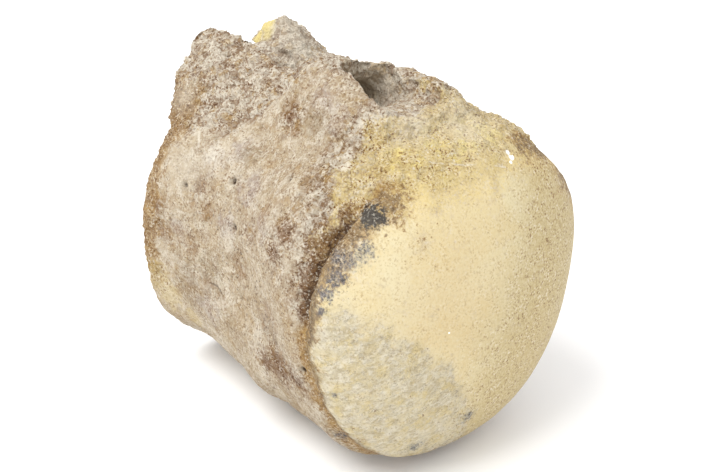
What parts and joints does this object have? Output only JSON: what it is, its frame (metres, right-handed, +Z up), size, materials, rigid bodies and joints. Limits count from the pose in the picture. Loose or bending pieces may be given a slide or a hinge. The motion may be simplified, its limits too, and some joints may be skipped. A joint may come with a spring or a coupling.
{
  "type": "fossil vertebra",
  "caption": "Fossil mosasaur vertebra: spool-shaped centrum with a hollow front face and a domed rear face, and the broken roots of the neural arch on top.",
  "frame": {"origin": "centre of the bounding box's base, on the surface that the bone lies on", "axes": "+X along the spine to the rear, where the domed condyle is; +Z up, towards the neural arch; -Y is the animal's left side, the one the picture shows"},
  "size_m": [0.0894, 0.0656, 0.073],
  "materials": {
    "fossil_bone": "matte, with a satin joint surface"
  },
  "bodies": {
    "root": {"vertebra": "fossil_bone"}
  },
  "joints": []
}
